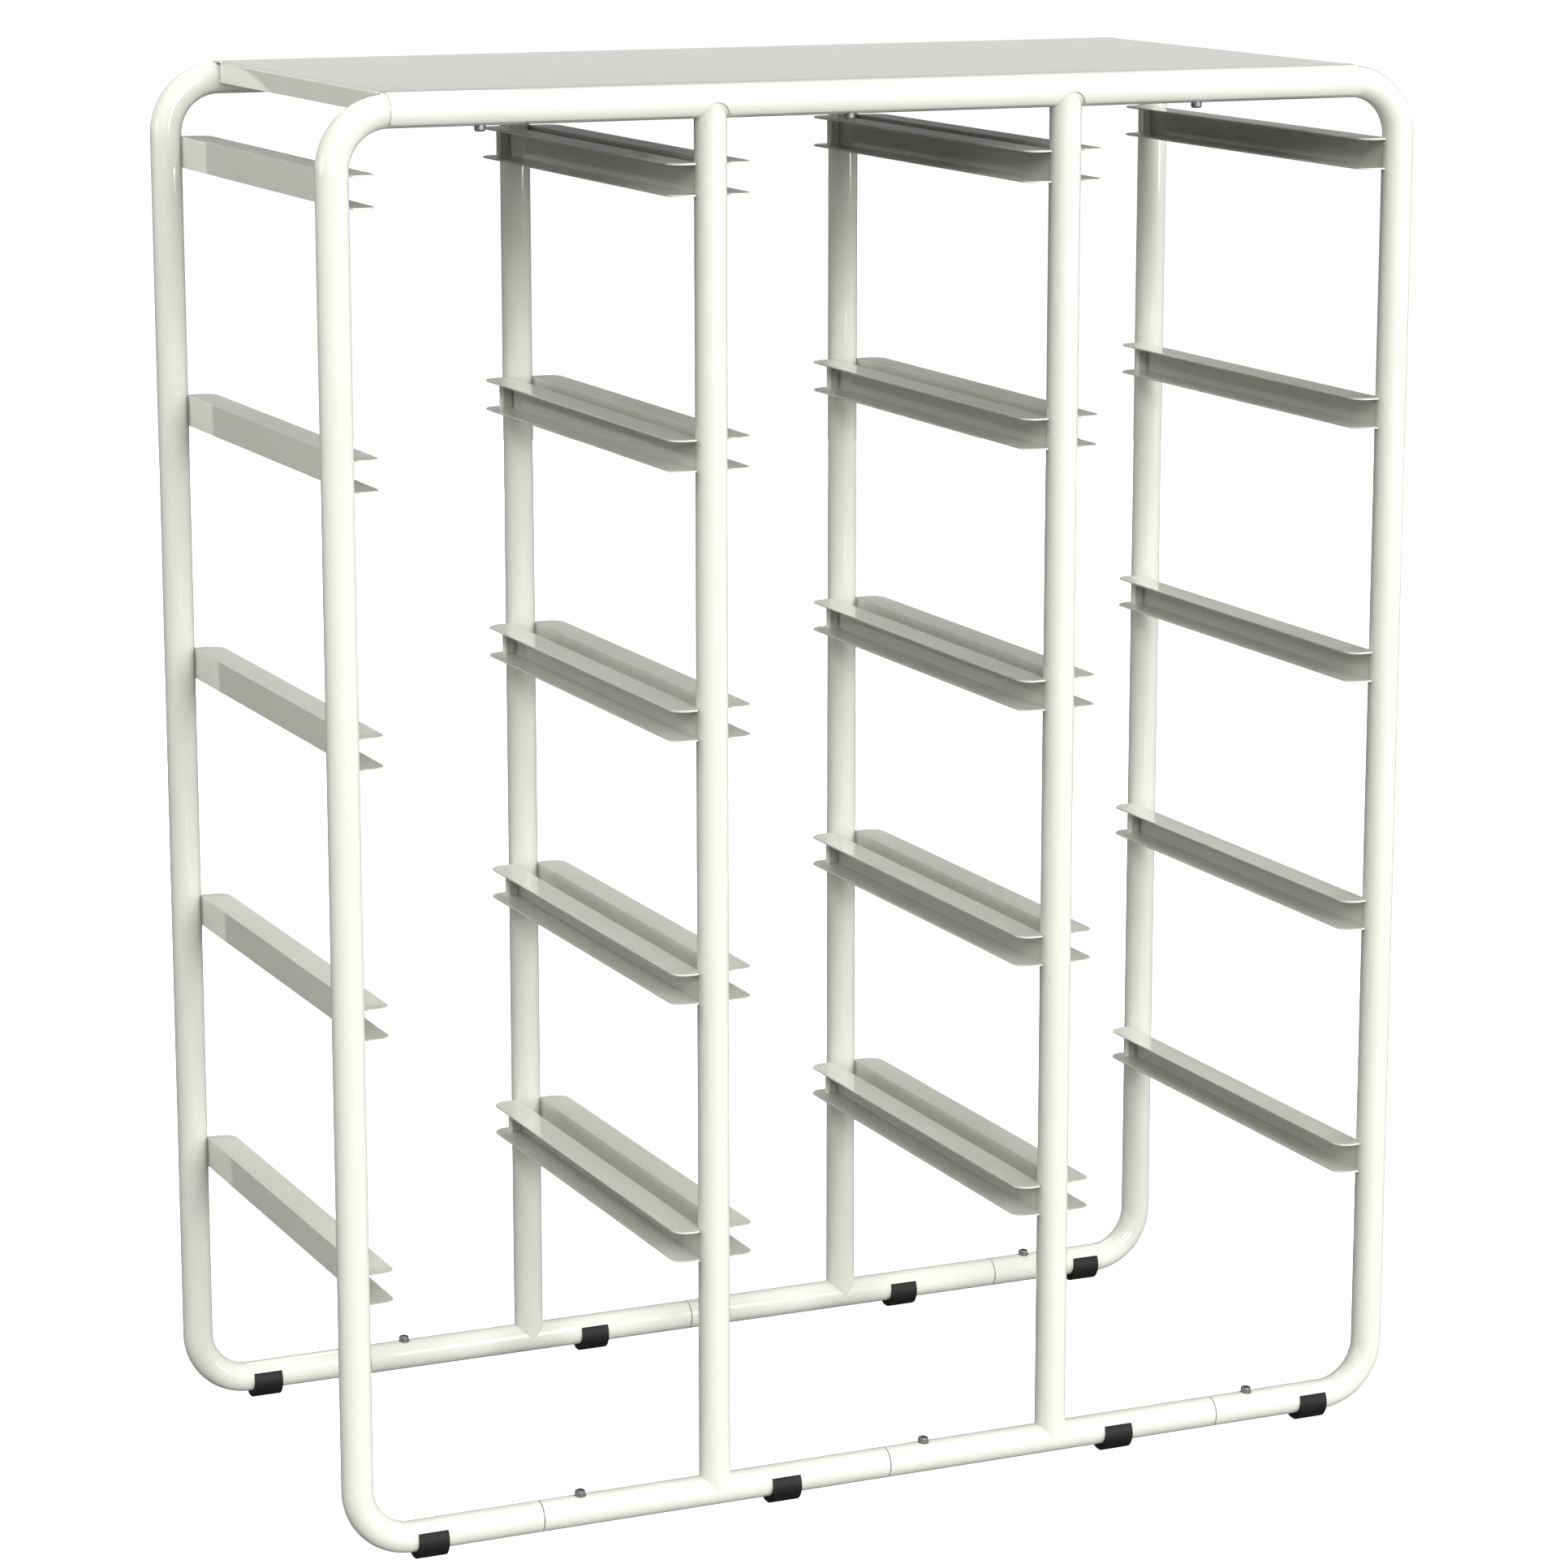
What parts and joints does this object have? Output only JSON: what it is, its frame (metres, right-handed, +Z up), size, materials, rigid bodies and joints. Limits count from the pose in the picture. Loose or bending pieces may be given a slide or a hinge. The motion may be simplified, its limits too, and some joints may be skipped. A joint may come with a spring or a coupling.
{
  "type": "bin storage rack",
  "caption": "Free-standing rack of bent steel tube with paired C-channel runners that hold storage bins by their rims, a rolled sheet top and plastic saddle feet.",
  "frame": {"origin": "on the floor, in the middle of the rack's footprint", "axes": "+Z up, +X along the front to the right as seen from the front, +Y from the front to the back"},
  "size_m": [0.9398, 0.4494, 1.1493],
  "materials": {
    "white_powder_coat": "gloss white powder coat on steel",
    "black_plastic": "moulded black plastic, fine texture",
    "spigot_steel": "bare drawn steel, hidden inside the rails",
    "zinc_plate": "bright zinc plate"
  },
  "bodies": {
    "root": {"front_left_end_tube": "white_powder_coat", "front_left_middle_upright": "white_powder_coat", "front_left_bottom_rail": "white_powder_coat", "front_left_top_rail": "white_powder_coat", "front_right_end_tube": "white_powder_coat", "front_right_middle_upright": "white_powder_coat", "front_right_bottom_rail": "white_powder_coat", "front_right_top_rail": "white_powder_coat", "back_left_end_tube": "white_powder_coat", "back_left_middle_upright": "white_powder_coat", "back_left_bottom_rail": "white_powder_coat", "back_left_top_rail": "white_powder_coat", "back_right_end_tube": "white_powder_coat", "back_right_middle_upright": "white_powder_coat", "back_right_bottom_rail": "white_powder_coat", "back_right_top_rail": "white_powder_coat", "left_bay_level_1_left_runner": "white_powder_coat", "left_bay_level_1_right_runner": "white_powder_coat", "left_bay_level_2_left_runner": "white_powder_coat", "left_bay_level_2_right_runner": "white_powder_coat", "left_bay_level_3_left_runner": "white_powder_coat", "left_bay_level_3_right_runner": "white_powder_coat", "left_bay_level_4_left_runner": "white_powder_coat", "left_bay_level_4_right_runner": "white_powder_coat", "left_bay_level_5_left_runner": "white_powder_coat", "left_bay_level_5_right_runner": "white_powder_coat", "middle_bay_level_1_left_runner": "white_powder_coat", "middle_bay_level_1_right_runner": "white_powder_coat", "middle_bay_level_2_left_runner": "white_powder_coat", "middle_bay_level_2_right_runner": "white_powder_coat", "middle_bay_level_3_left_runner": "white_powder_coat", "middle_bay_level_3_right_runner": "white_powder_coat", "middle_bay_level_4_left_runner": "white_powder_coat", "middle_bay_level_4_right_runner": "white_powder_coat", "middle_bay_level_5_left_runner": "white_powder_coat", "middle_bay_level_5_right_runner": "white_powder_coat", "right_bay_level_1_left_runner": "white_powder_coat", "right_bay_level_1_right_runner": "white_powder_coat", "right_bay_level_2_left_runner": "white_powder_coat", "right_bay_level_2_right_runner": "white_powder_coat", "right_bay_level_3_left_runner": "white_powder_coat", "right_bay_level_3_right_runner": "white_powder_coat", "right_bay_level_4_left_runner": "white_powder_coat", "right_bay_level_4_right_runner": "white_powder_coat", "right_bay_level_5_left_runner": "white_powder_coat", "right_bay_level_5_right_runner": "white_powder_coat", "bin_stops": "white_powder_coat", "top_panel": "white_powder_coat", "front_foot_1": "black_plastic", "front_foot_2": "black_plastic", "front_foot_3": "black_plastic", "front_foot_4": "black_plastic", "back_foot_1": "black_plastic", "back_foot_2": "black_plastic", "back_foot_3": "black_plastic", "back_foot_4": "black_plastic", "front_joint_spigots": "spigot_steel", "back_joint_spigots": "spigot_steel", "front_joint_screws": "zinc_plate", "back_joint_screws": "zinc_plate"}
  },
  "joints": []
}
